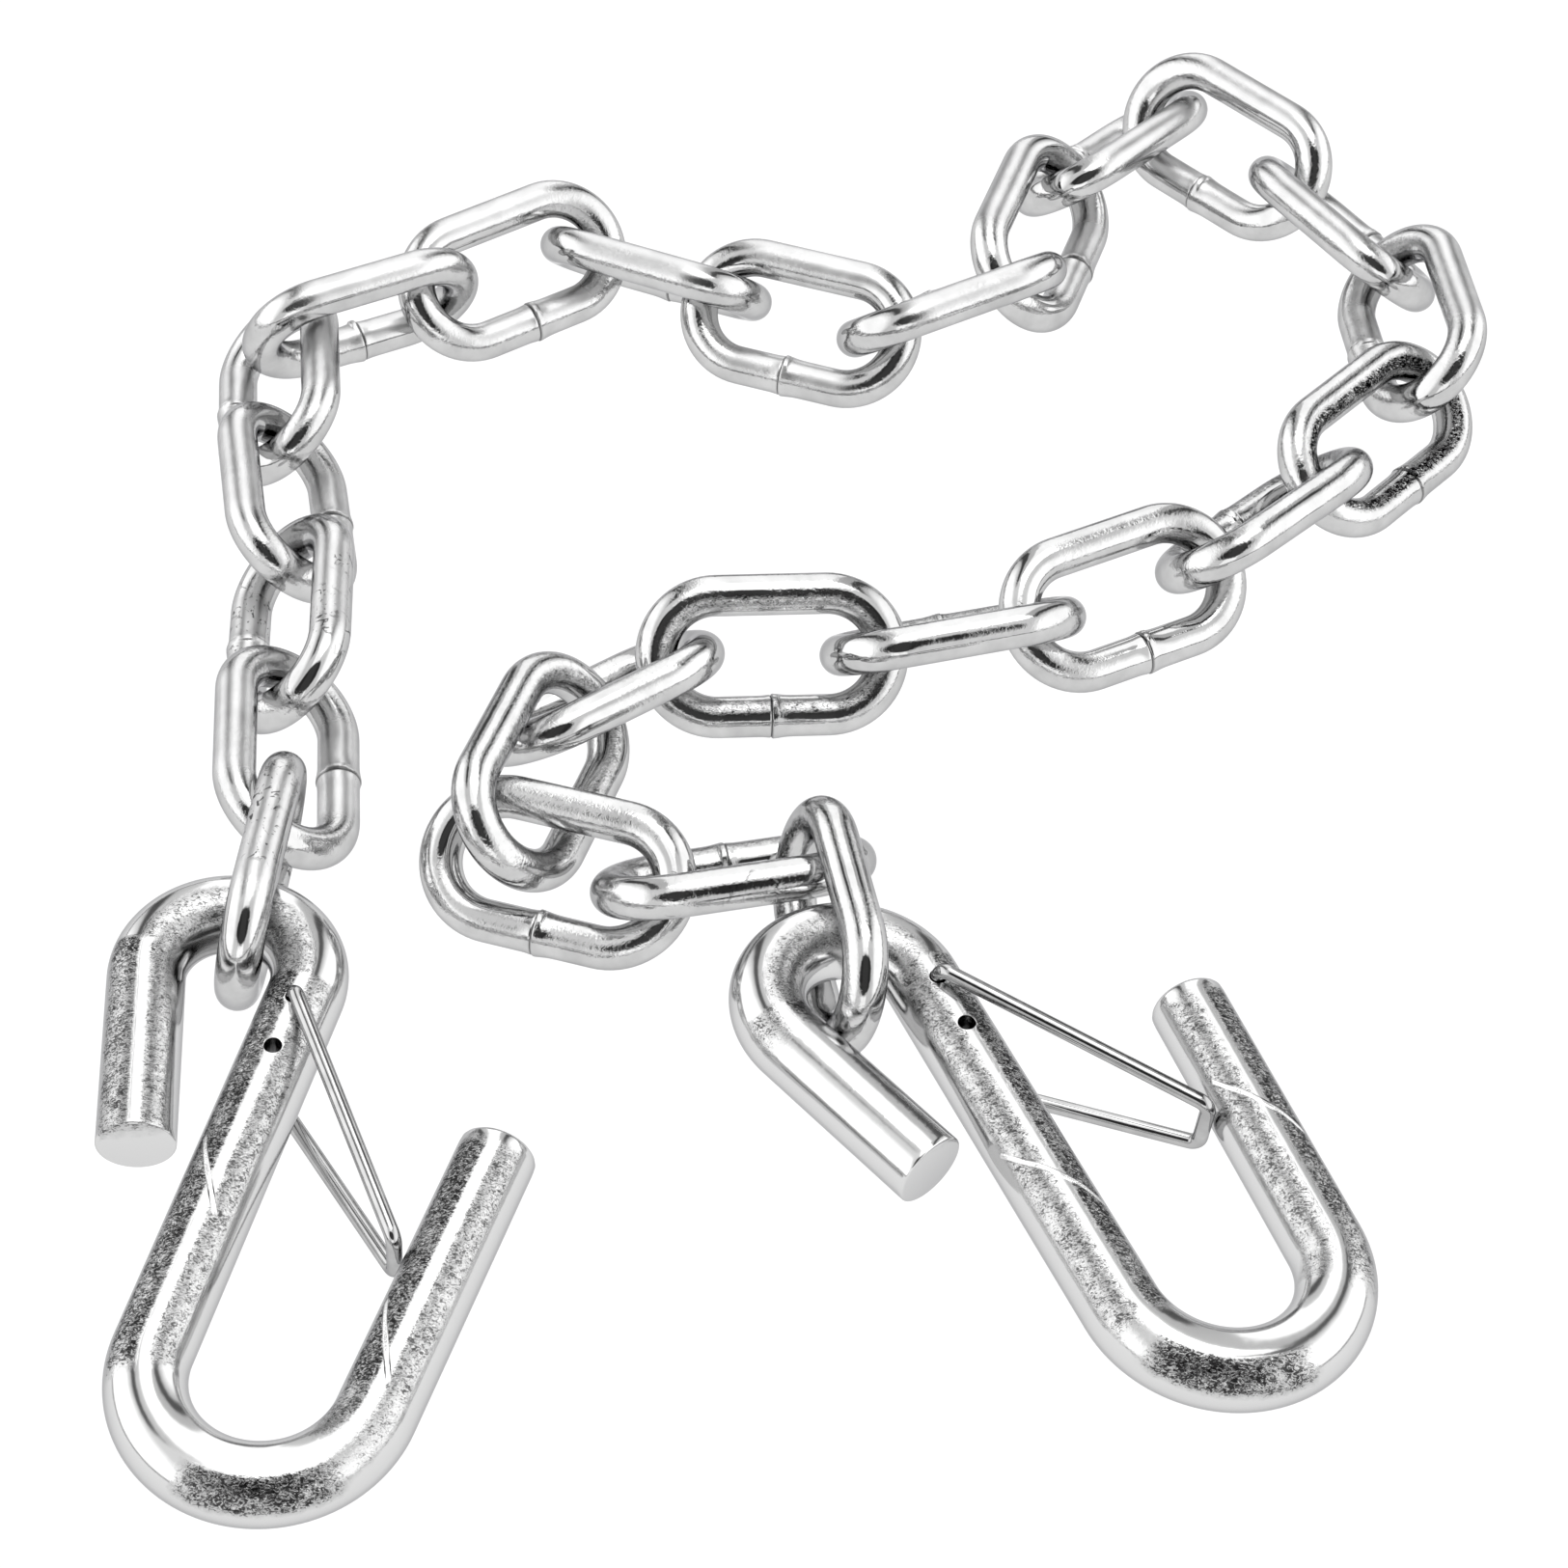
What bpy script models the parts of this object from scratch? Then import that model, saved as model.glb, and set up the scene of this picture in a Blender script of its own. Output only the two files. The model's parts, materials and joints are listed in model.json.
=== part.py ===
"""Trailer safety chain: welded links with a latched S-hook at each end.

The chain lies in loose curves on a flat surface, with +Z up and +Y along its longest
side. Lengths are metres, and the lists of places are millimetres and degrees.
"""
import math

import bpy
import bmesh
from mathutils import Matrix, Vector

for old in list(bpy.data.objects):
    bpy.data.objects.remove(old)

MM = 0.001
DEGREE = math.pi / 180
SHARP_ANGLE = 40 * DEGREE  # edges sharper than this stay crisp, and the rest are shaded smooth

# Chain link, a welded loop of round wire with two round ends (crowns) and two rails
WIRE_RADIUS = 3.5 * MM
LINK_INSIDE_LENGTH = 32.0 * MM
LINK_INSIDE_WIDTH = 13.4 * MM
CROWN_RADIUS = LINK_INSIDE_WIDTH / 2 + WIRE_RADIUS
RAIL_HALF_LENGTH = (LINK_INSIDE_LENGTH - LINK_INSIDE_WIDTH) / 2
LINK_REACH = RAIL_HALF_LENGTH + CROWN_RADIUS
WIRE_SIDES = 10
CROWN_STEPS = 8

# Hook, one round bar bent into an eye with a long stub, a straight shank and a bowl
BAR_RADIUS = 6.0 * MM
EYE_RADIUS = 12.4 * MM
EYE_SWEEP = 198 * DEGREE
STUB_LENGTH = 30.5 * MM
SHANK_LENGTH = 64.5 * MM
BOWL_RADIUS = 16.7 * MM
TIP_FLARE = 4 * DEGREE
TIP_LENGTH = 48.0 * MM
BAR_SIDES = 14
BEND_STEP = 13 * DEGREE

# Latch, a spring wire loop whose two ends sit in cross holes in the hook's shank
LATCH_WIRE_RADIUS = 1.2 * MM
LATCH_HOLE_RADIUS = 1.4 * MM
PIVOT_HOLE = Vector((0, -4.2 * MM, 0))
SPRING_HOLE = Vector((0, -13.8 * MM, 0))
LATCH_NOSE = Vector((27.6 * MM, -40.0 * MM, 0))
NOSE_HALF_HEIGHT = 4.6 * MM
UPPER_LEG_HEIGHT = 7.9 * MM
LOWER_LEG_HEIGHT = 8.2 * MM
PEG_DEPTH = 4.0 * MM
LATCH_BEND_RADIUS = 1.7 * MM
LATCH_BEND_STEPS = 4
LATCH_SIDES = 8
HOLE_SIDES = 12

# Where each link lies: x, y (mm), heading, roll, tilt (degrees), lift off the surface (mm).
# The roll turns a link about its own length: neighbours lean opposite ways, as a chain does.
LINK_PLACES = (
    (-82.0, -33.5, 85, 100, 0, 0.0),
    (-81.0, -4.0, 95, 41, -1, 0.5),
    (-83.5, 27.0, 93, -41, 0, 1.0),
    (-87.0, 58.0, 100, 45, 0, 0.0),
    (-91.5, 89.0, 96, -38, -1, 0.5),
    (-77.5, 105.0, 27, -68, -1, 1.5),
    (-50.5, 119.5, 32, 47, 1, 2.0),
    (-24.0, 121.0, -24, -45, 0, 0.5),
    (3.0, 107.5, -19, 41, -1, 0.0),
    (31.0, 110.0, 27, -43, 2, 2.0),
    (48.5, 132.0, 71, 47, 2, 1.0),
    (63.5, 158.5, 45, -40, 0, 1.0),
    (85.0, 153.5, -43, 53, -4, 4.0),
    (105.0, 130.5, -56, -43, -2, 2.5),
    (114.5, 102.0, -85, 46, 1, 4.0),
    (105.5, 74.5, -133, -38, 1, 1.0),
    (83.5, 52.5, -138, 45, -1, 0.5),
    (58.0, 35.0, -154, -36, 0, 0.0),
    (28.5, 24.5, -166, 43, 0, 0.0),
    (-2.0, 19.5, -176, -43, 2, 0.0),
    (-30.5, 10.5, -145, 38, 0, 0.0),
    (-39.0, -10.0, -108, -48, 1, 2.5),
    (-36.0, -28.0, -18, 33, 1, 0.0),
    (-8.0, -29.5, 12, -38, -1, 0.0),
    (7.0, -43.0, -79, 73, 0, 0.0),
)

# How each hook lies: eye centre x, y, z (mm), lean to the right, pitch, bank (degrees)
HOOK_PLACES = {
    "left": (-85.2, -53.1, 12.7, 14.4, 2.7, 4.5),
    "right": (9.9, -58.1, 12.7, -24.8, 2.7, 4.5),
}

ROOT_LINK = 13  # the middle link, which carries both halves of the chain
OWN_CROWN = (8, 15, 19, 21, 22, 25)  # these links swing about the wire of their own crown
FOLDED_BACK = (5, 23)  # these swing about their parent's crown, across their own width


def arc(centre, radius, start, end, step):
    """Points round an arc in the XY plane, from start to end, both included."""
    count = max(2, round(abs(end - start) / step))
    angles = [start + (end - start) * i / count for i in range(count + 1)]
    return [centre + radius * Vector((math.cos(a), math.sin(a), 0)) for a in angles]


def link_path():
    """Closed centreline of a link, with its length along X and its width along Y."""
    step = math.pi / CROWN_STEPS
    ahead = arc(Vector((RAIL_HALF_LENGTH, 0, 0)), CROWN_RADIUS, -math.pi / 2, math.pi / 2, step)
    behind = arc(Vector((-RAIL_HALF_LENGTH, 0, 0)), CROWN_RADIUS, math.pi / 2, math.pi * 3 / 2, step)
    return ahead + behind


def hook_path():
    """Centreline of the hook bar: stub end, eye, shank down the Y axis, bowl, tip end."""
    eye = arc(Vector((-EYE_RADIUS, 0, 0)), EYE_RADIUS, EYE_SWEEP, 0, BEND_STEP)
    stub_direction = Vector((math.sin(EYE_SWEEP), -math.cos(EYE_SWEEP), 0))
    stub_end = eye[0] - STUB_LENGTH * stub_direction
    bowl_centre = Vector((BOWL_RADIUS, -SHANK_LENGTH, 0))
    bowl = arc(bowl_centre, BOWL_RADIUS, math.pi, 2 * math.pi - TIP_FLARE, BEND_STEP)
    tip_end = bowl[-1] + TIP_LENGTH * Vector((math.sin(TIP_FLARE), math.cos(TIP_FLARE), 0))
    return [stub_end] + eye + bowl + [tip_end]


def rounded(corners, radius, steps):
    """An open path through the corners, with each inner corner rounded to the radius."""
    path = [corners[0]]
    for before, corner, after in zip(corners, corners[1:], corners[2:]):
        back = (before - corner).normalized()
        ahead = (after - corner).normalized()
        half_angle = back.angle(ahead) / 2
        middle = (back + ahead).normalized()
        centre = corner + middle * radius / math.sin(half_angle)
        start = corner + back * radius / math.tan(half_angle) - centre
        end = corner + ahead * radius / math.tan(half_angle) - centre
        path += [centre + radius * start.slerp(end, i / steps) for i in range(steps + 1)]
    return path + [corners[-1]]


def latch_path():
    """Centreline of the latch wire in the hook's frame, from the peg round to the other end."""
    up = Vector((0, 0, 1))
    corners = [
        PIVOT_HOLE - up * PEG_DEPTH,
        PIVOT_HOLE + up * UPPER_LEG_HEIGHT,
        LATCH_NOSE + up * NOSE_HALF_HEIGHT,
        LATCH_NOSE - up * NOSE_HALF_HEIGHT,
        SPRING_HOLE - up * LOWER_LEG_HEIGHT,
    ]
    return rounded(corners, LATCH_BEND_RADIUS, LATCH_BEND_STEPS)


def directions(path, closed):
    """The path's direction at each of its points."""
    count = len(path)
    legs = [(path[(i + 1) % count] - path[i]).normalized() for i in range(count)]
    if closed:
        return [(legs[i - 1] + legs[i]).normalized() for i in range(count)]
    inner = [(legs[i - 1] + legs[i]).normalized() for i in range(1, count - 1)]
    return [legs[0]] + inner + [legs[count - 2]]


def swept_bar(name, path, radius, sides, closed, material):
    """Mesh of a round bar along a path, with flat ends where the path is open."""
    shape = bmesh.new()
    aims = directions(path, closed)
    side = aims[0].orthogonal().normalized()
    rings = []
    for i, (point, aim) in enumerate(zip(path, aims)):
        if i > 0:
            side = aims[i - 1].rotation_difference(aim) @ side
        across = aim.cross(side)
        angles = [2 * math.pi * (k + 0.5) / sides for k in range(sides)]
        ring = [point + radius * (math.cos(a) * side + math.sin(a) * across) for a in angles]
        rings.append([shape.verts.new(corner) for corner in ring])
    pairs = list(zip(rings, rings[1:]))
    if closed:
        pairs.append((rings[-1], rings[0]))
    else:
        shape.faces.new(list(reversed(rings[0])))
        shape.faces.new(rings[-1])
    for near, far in pairs:
        for k in range(sides):
            following = (k + 1) % sides
            shape.faces.new((near[k], near[following], far[following], far[k]))
    mesh = bpy.data.meshes.new(name)
    shape.to_mesh(mesh)
    shape.free()
    mesh.shade_smooth()
    mesh.set_sharp_from_angle(angle=SHARP_ANGLE)
    mesh.materials.append(material)
    return mesh


def metal(name, colour, roughness):
    """A bare or plated metal."""
    material = bpy.data.materials.new(name)
    material.use_nodes = True
    surface = material.node_tree.nodes["Principled BSDF"]
    surface.inputs["Base Color"].default_value = (*colour, 1)
    surface.inputs["Metallic"].default_value = 1.0
    surface.inputs["Roughness"].default_value = roughness
    return material


def place(name, mesh, matrix, parent=None):
    """A named object at a world matrix, which stays there when it gets a parent."""
    thing = bpy.data.objects.new(name, mesh)
    bpy.context.scene.collection.objects.link(thing)
    if parent:
        thing.parent = parent
        thing.matrix_parent_inverse = parent.matrix_world.inverted()
    thing.matrix_world = matrix
    bpy.context.view_layer.update()
    return thing


def pivot(name, parent, point, axis):
    """An empty on a joint's axis, with its own Z along the axis, both given in world space."""
    turn = Vector((0, 0, 1)).rotation_difference(axis).to_matrix().to_4x4()
    return place(name, None, Matrix.Translation(point) @ turn, parent)


def link_matrix(x, y, heading, roll, tilt, lift):
    """World matrix of a link, at the height where it rests on the surface plus its lift."""
    turn = (
        Matrix.Rotation(heading * DEGREE, 4, "Z")
        @ Matrix.Rotation(-tilt * DEGREE, 4, "Y")
        @ Matrix.Rotation(roll * DEGREE, 4, "X")
    )
    length_rise = turn.col[0].z
    width_rise = turn.col[1].z
    reach_down = RAIL_HALF_LENGTH * abs(length_rise) + CROWN_RADIUS * math.hypot(length_rise, width_rise)
    height = WIRE_RADIUS + reach_down + lift * MM
    return Matrix.Translation((x * MM, y * MM, height)) @ turn


def hook_matrix(x, y, z, lean, pitch, bank):
    """World matrix of a hook's frame, whose X axis runs to the right of the shank."""
    turn = (
        Matrix.Rotation(-lean * DEGREE, 4, "Z")
        @ Matrix.Rotation(pitch * DEGREE, 4, "X")
        @ Matrix.Rotation(bank * DEGREE, 4, "Y")
    )
    eye_centre = Vector((-EYE_RADIUS, 0, 0))
    return Matrix.Translation(Vector((x, y, z)) * MM) @ turn @ Matrix.Translation(-eye_centre)


def cross_hole(name, hook, matrix, centre):
    """Cut a cross hole through the shank of a hook."""
    shape = bmesh.new()
    bmesh.ops.create_cone(
        shape, cap_ends=True, segments=HOLE_SIDES,
        radius1=LATCH_HOLE_RADIUS, radius2=LATCH_HOLE_RADIUS, depth=4 * BAR_RADIUS,
    )
    mesh = bpy.data.meshes.new(name)
    shape.to_mesh(mesh)
    shape.free()
    cutter = place(name, mesh, matrix @ Matrix.Translation(centre), hook)
    cutter.hide_render = True
    cutter.display_type = "WIRE"
    cut = hook.modifiers.new(name, "BOOLEAN")
    cut.operation = "DIFFERENCE"
    cut.solver = "EXACT"
    cut.object = cutter


def crown_centre(matrix, toward_high):
    """World position of the wire's centre at one crown of a link at a matrix."""
    return matrix @ Vector((LINK_REACH if toward_high else -LINK_REACH, 0, 0))


def add_link(number, parent, mesh):
    """A link, hinged to its parent at the crowns that hold each other, or the root link."""
    matrix = link_matrix(*LINK_PLACES[number - 1])
    name = f"link_{number:02d}"
    if parent is None:
        return place(name, mesh, matrix)
    ahead = number > ROOT_LINK
    point = crown_centre(parent.matrix_world, ahead)
    axis = parent.matrix_world.to_3x3().col[1]
    if number in OWN_CROWN:
        point = crown_centre(matrix, not ahead)
    if number in OWN_CROWN + FOLDED_BACK:
        axis = matrix.to_3x3().col[1]
    return place(name, mesh, matrix, pivot(f"{name}_pivot", parent, point, axis))


def add_hook(side, end_link, bar_mesh, latch_mesh):
    """A hook that swings flat about the end link's crown, with its latch in the shank."""
    name = f"hook_{side}"
    matrix = hook_matrix(*HOOK_PLACES[side])
    normal = matrix.to_3x3().col[2]
    crown = crown_centre(end_link.matrix_world, side == "right")
    hook = place(name, bar_mesh, matrix, pivot(f"{name}_pivot", end_link, crown, normal))
    cross_hole(f"{name}_pivot_hole", hook, matrix, PIVOT_HOLE)
    cross_hole(f"{name}_spring_hole", hook, matrix, SPRING_HOLE)
    latch_pivot = pivot(f"latch_{side}_pivot", hook, matrix @ PIVOT_HOLE, -normal)
    place(f"latch_{side}", latch_mesh, matrix, latch_pivot)


def centre_on_base(root, pieces):
    """Move the whole tree so that the origin is under its middle, on the surface."""
    corners = [piece.matrix_world @ vertex.co for piece in pieces for vertex in piece.data.vertices]
    lowest = Vector([min(corner[i] for corner in corners) for i in range(3)])
    highest = Vector([max(corner[i] for corner in corners) for i in range(3)])
    middle = (lowest + highest) / 2
    root.location -= Vector((middle.x, middle.y, lowest.z))
    bpy.context.view_layer.update()


def build():
    """Lay out the chain from its root link outwards, then a hook at each end."""
    link_zinc = metal("link_zinc", (0.80, 0.81, 0.82), 0.2)
    hook_zinc = metal("hook_zinc", (0.76, 0.77, 0.78), 0.28)
    latch_steel = metal("latch_steel", (0.66, 0.67, 0.68), 0.22)
    link_mesh = swept_bar("link", link_path(), WIRE_RADIUS, WIRE_SIDES, True, link_zinc)

    last_link = len(LINK_PLACES)
    links = {ROOT_LINK: add_link(ROOT_LINK, None, link_mesh)}
    for number in range(ROOT_LINK - 1, 0, -1):
        links[number] = add_link(number, links[number + 1], link_mesh)
    for number in range(ROOT_LINK + 1, last_link + 1):
        links[number] = add_link(number, links[number - 1], link_mesh)

    for side, end_link in (("left", links[1]), ("right", links[last_link])):
        bar_mesh = swept_bar(f"hook_{side}", hook_path(), BAR_RADIUS, BAR_SIDES, False, hook_zinc)
        wire_mesh = swept_bar(
            f"latch_{side}", latch_path(), LATCH_WIRE_RADIUS, LATCH_SIDES, False, latch_steel
        )
        add_hook(side, end_link, bar_mesh, wire_mesh)

    pieces = [thing for thing in bpy.data.objects if thing.type == "MESH" and not thing.hide_render]
    centre_on_base(links[ROOT_LINK], pieces)


build()
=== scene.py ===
"""Looks for the trailer safety chain: plated links, hooks of round bar and spring wire latches.

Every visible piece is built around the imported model. A link takes its place from its CAD
node, and a hook from its latch hinge and the flat face at its tip.
"""
import json
import math

import bmesh
import bpy
import numpy as np
from mathutils import Matrix, Vector


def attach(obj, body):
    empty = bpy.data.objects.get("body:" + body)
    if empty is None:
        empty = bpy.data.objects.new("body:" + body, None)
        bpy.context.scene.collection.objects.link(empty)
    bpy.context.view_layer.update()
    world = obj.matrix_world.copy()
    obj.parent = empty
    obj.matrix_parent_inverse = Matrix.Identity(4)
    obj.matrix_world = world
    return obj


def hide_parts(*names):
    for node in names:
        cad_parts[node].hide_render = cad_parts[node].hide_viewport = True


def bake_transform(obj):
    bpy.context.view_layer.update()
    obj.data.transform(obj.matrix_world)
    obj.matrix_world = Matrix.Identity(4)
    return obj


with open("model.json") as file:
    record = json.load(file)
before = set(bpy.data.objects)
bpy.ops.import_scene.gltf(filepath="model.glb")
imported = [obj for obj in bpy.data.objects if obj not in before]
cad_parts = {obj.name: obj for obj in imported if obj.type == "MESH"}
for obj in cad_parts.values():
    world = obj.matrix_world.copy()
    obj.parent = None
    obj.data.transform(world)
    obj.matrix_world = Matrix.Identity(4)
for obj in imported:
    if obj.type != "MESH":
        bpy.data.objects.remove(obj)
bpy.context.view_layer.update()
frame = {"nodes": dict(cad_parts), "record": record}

MM = 0.001
DEGREE = math.pi / 180
UP = Vector((0, 0, 1))
SHARP_ANGLE = 35 * DEGREE

# Camera, aimed at a point in the plane that the chain lies on
AIM = Vector((-10.9 * MM, -16.1 * MM, 0))
CAMERA_ELEVATION = 46.5 * DEGREE
CAMERA_DISTANCE = 593.1 * MM
CAMERA_LENS = 82.0
VIEW_RANGE = 80.0

# Floor, far enough below the chain for every link to swing down without meeting it
FLOOR_SIZE = 40.0
FLOOR_DROP = 0.21
FLOOR_GREY = 0.18
FLOOR_ROUGHNESS = 0.9
FLOOR_GLOW = 0.84

# Lamp above the chain
LAMP_POWER = 1.2
LAMP_SIZE = 0.5
LAMP_PLACE = (0.1, 0.1, 0.9)

# Dark patch of the studio, on the camera's side: its height as an angle, and its half width
# and half height as sines
PATCH_ELEVATION = 46.5 * DEGREE
PATCH_HALF_WIDTH = 0.52
PATCH_HALF_HEIGHT = 0.50

# Chain link
WIRE_RADIUS = 3.5 * MM
RAIL_HALF_LENGTH = 9.3 * MM
CROWN_RADIUS = 10.2 * MM
WIRE_SIDES = 40
RAIL_STEP = 0.8 * MM
CROWN_STEP = 5 * DEGREE

# Weld near the middle of one rail. The reach of its dense rings and the place of its seam are
# measured from the middle, and the flash from the seam. A swelling is its height and its width
WELD_STEP = 0.16 * MM
WELD_REACH = 3.6 * MM
SEAM_PLACE = 0.5 * MM
SEAM_WIDTH = 0.18 * MM
SWELLING_BEFORE = (0.30 * MM, 1.9 * MM)
SWELLING_AFTER = (0.14 * MM, 1.1 * MM)
GROOVE_DEPTH = 0.16 * MM
GROOVE_WIDTH = 0.14 * MM
FLASH_HEIGHT = 0.35 * MM
FLASH_START = -1.0 * MM
FLASH_END = -0.15 * MM
FLASH_FADE = 0.3 * MM
FLASH_DIRECTION = Vector((0, -0.66, 0.75))
FLASH_EDGE = (0.86, 0.95)

# How much crackled scale lies beside the crest of the links that have some. Its darkening
# there is partly a painted dark reflection of the surround
LINK_SCALE_AND_DARK_REFLECTION = {
    "link_15": 0.4, "link_16": 1.0, "link_17": 0.7, "link_19": 0.6,
    "link_20": 0.6, "link_22": 0.6, "link_24": 0.5, "link_25": 0.8,
}
# The crests of the links up to this one are dull, and a little lighter as a painted sheen; those
# after it are bright
LAST_DULL_LINK = "link_15"
NICKED_LINKS = ("link_01", "link_03", "link_24")
# Where these lie on the round of the wire: the share of the surface's direction that points
# inward or up. Dull crests and nicks fade out over RAIL_FADE beyond the straight rails
INNER_BAND = (0.06, 0.62)
INNER_BAND_FADE = 0.12
LINK_TOP_FADE = (0.05, 0.30)
CREST_FADE = (0.36, 0.66)
RAIL_FADE = 7 * MM

# Hook bar, in the hook's own frame: the shank runs down the Y axis
BAR_RADIUS = 6.0 * MM
EYE_RADIUS = 12.4 * MM
EYE_SWEEP = 198 * DEGREE
STUB_LENGTH = 30.5 * MM
SHANK_LENGTH = 64.5 * MM
BOWL_RADIUS = 16.7 * MM
TIP_FLARE = 4 * DEGREE
TIP_LENGTH = 48.0 * MM
STUB_RIM = 0.35 * MM
TIP_RIM = 1.5 * MM
RIM_STEPS = 5
BAR_SIDES = 72
BAR_STEP = 1.0 * MM
BEND_STEP = 3.0 * DEGREE

# How much crackled scale a hook has to the left and right of its crest, on its stub and in
# its eye, and between which two angles round the bowl, in degrees, its patch of scale lies. The
# scale's darkening is partly a painted dark reflection of the surround
HOOK_SCALE_AND_DARK_REFLECTION = {
    "left": {"left": 1.0, "right": 0.75, "stub": 0.85, "eye": 0.7, "patch": (84, 130)},
    "right": {"left": 0.75, "right": 1.0, "stub": 0.15, "eye": 0.6, "patch": (36, 88)},
}
# Where the scale, with its painted dark reflection, lies on the round of the bar: the share of the
# surface's direction that points right, away from the bowl's centre, into the eye or up
LEFT_BAND = (-0.78, -0.20)
RIGHT_BAND = (0.18, 0.66)
BAND_FADE = 0.14
PATCH_BAND = (0.36, 0.90)
PATCH_BAND_FADE = 0.12
EYE_BAND = (-0.10, 0.70)
EYE_BAND_FADE = 0.15
HOOK_TOP_FADE = (0.02, 0.30)
# Where it fades along the bar: angles round the bowl in degrees, and lengths from the eye and
# from the tip
BOWL_FADE_OUT = (12, 28)
BOWL_FADE_IN = (130, 155)
PATCH_FADE = 16
STUB_FADE = (-9 * MM, -2 * MM)
TIP_FADE = (-4 * MM, -1 * MM)

# Scratches, each from one (run down the Y axis, run round the bar) to another, all in mm.
# The scratch attribute is the distance from the line, as a share of SCRATCH_RANGE
SCRATCHES = {
    "left": {"shank": ((-31, -5.0), (-44, 2.0)), "tip": ((-50, -5.5), (-63, 1.0))},
    "right": {"shank": ((-36, -6.5), (-50, 5.0)), "tip": ((-36, -5.5), (-49, 4.5))},
}
SCRATCH_WIDTH = 0.5
SCRATCH_RANGE = 4.0
SCRATCH_REACH = 2.5

# Latch wire, and the cross holes that it sits in
LATCH_RADIUS = 1.2 * MM
LATCH_RIM = 0.3 * MM
LATCH_HOLE_RADIUS = 1.4 * MM
DRILL_LENGTH = 36.0 * MM
DRILL_SIDES = 40
PIVOT_HOLE = Vector((0, -4.2 * MM, 0))
SPRING_HOLE = Vector((0, -13.8 * MM, 0))
LATCH_NOSE = Vector((27.6 * MM, -40.0 * MM, 0))
NOSE_HALF_HEIGHT = 4.6 * MM
UPPER_LEG_HEIGHT = 7.9 * MM
LOWER_LEG_HEIGHT = 8.2 * MM
UPPER_PEG_DEPTH = 4.0 * MM
LOWER_PEG_DEPTH = 2.0 * MM
LATCH_BEND_RADIUS = 1.7 * MM
LATCH_BEND_STEPS = 10
LATCH_SIDES = 24
LATCH_STEP = 1.0 * MM
# Shares of the lower leg, from its hole to the nose: where the wire starts to flex, and where
# the part that turns as one begins
FLEX_END = 0.62


def smooth(x, low, high):
    """0 below low, 1 above high, and smooth between them."""
    t = min(1.0, max(0.0, (x - low) / (high - low)))
    return t * t * (3 - 2 * t)


def band(x, low, high, soft):
    """1 between low and high, fading to 0 over soft on each side."""
    return smooth(x, low - soft, low) * (1 - smooth(x, high, high + soft))


def bell(x, width):
    """1 at 0, falling to 1/e at width on each side."""
    return math.exp(-((x / width) ** 2))


def arc(centre, radius, start, end, step):
    """Points round an arc in the XY plane, both ends included."""
    count = max(2, round(abs(end - start) / step))
    angles = [start + (end - start) * i / count for i in range(count + 1)]
    return [centre + radius * Vector((math.cos(a), math.sin(a), 0)) for a in angles]


def filled(corners, step):
    """The open path through the corners, with points no further apart than step."""
    path = [corners[0]]
    for near, far in zip(corners, corners[1:]):
        count = max(1, math.ceil((far - near).length / step))
        path += [near.lerp(far, i / count) for i in range(1, count + 1)]
    return path


def link_path():
    """Closed centreline of a link, with the welded rail at +Y and dense rings at the weld."""
    quarter = math.pi / 2
    ahead_centre = Vector((RAIL_HALF_LENGTH, 0, 0))
    ahead = arc(ahead_centre, CROWN_RADIUS, -quarter, quarter, CROWN_STEP)
    behind = arc(-ahead_centre, CROWN_RADIUS, quarter, 3 * quarter, CROWN_STEP)
    weld_ends = [Vector((WELD_REACH, CROWN_RADIUS, 0)), Vector((-WELD_REACH, CROWN_RADIUS, 0))]
    to_weld = filled([ahead[-1], weld_ends[0]], RAIL_STEP)[1:-1]
    weld = filled(weld_ends, WELD_STEP)
    from_weld = filled([weld_ends[1], behind[0]], RAIL_STEP)[1:-1]
    plain_rail = filled([behind[-1], ahead[0]], RAIL_STEP)[1:-1]
    return ahead + to_weld + weld + from_weld + behind + plain_rail


def hook_path():
    """Centreline of the hook bar: stub end, eye, shank, bowl, tip end."""
    eye = arc(Vector((-EYE_RADIUS, 0, 0)), EYE_RADIUS, EYE_SWEEP, 0, BEND_STEP)
    stub_direction = Vector((math.sin(EYE_SWEEP), -math.cos(EYE_SWEEP), 0))
    stub_end = eye[0] - STUB_LENGTH * stub_direction
    bowl_centre = Vector((BOWL_RADIUS, -SHANK_LENGTH, 0))
    bowl = arc(bowl_centre, BOWL_RADIUS, math.pi, 2 * math.pi - TIP_FLARE, BEND_STEP)
    tip_end = bowl[-1] + TIP_LENGTH * Vector((math.sin(TIP_FLARE), math.cos(TIP_FLARE), 0))
    stub = filled([stub_end, eye[0]], BAR_STEP)
    shank = filled([eye[-1], bowl[0]], BAR_STEP)
    tip = filled([bowl[-1], tip_end], BAR_STEP)
    return stub[:-1] + eye[:-1] + shank[:-1] + bowl[:-1] + tip


def rounded(corners, radius, steps):
    """An open path through the corners, with each inner corner rounded to the radius."""
    path = [corners[0]]
    for before, corner, after in zip(corners, corners[1:], corners[2:]):
        back = (before - corner).normalized()
        ahead = (after - corner).normalized()
        half_angle = back.angle(ahead) / 2
        centre = corner + (back + ahead).normalized() * radius / math.sin(half_angle)
        start = corner + back * radius / math.tan(half_angle) - centre
        end = corner + ahead * radius / math.tan(half_angle) - centre
        path += [centre + radius * start.slerp(end, i / steps) for i in range(steps + 1)]
    return path + [corners[-1]]


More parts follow.
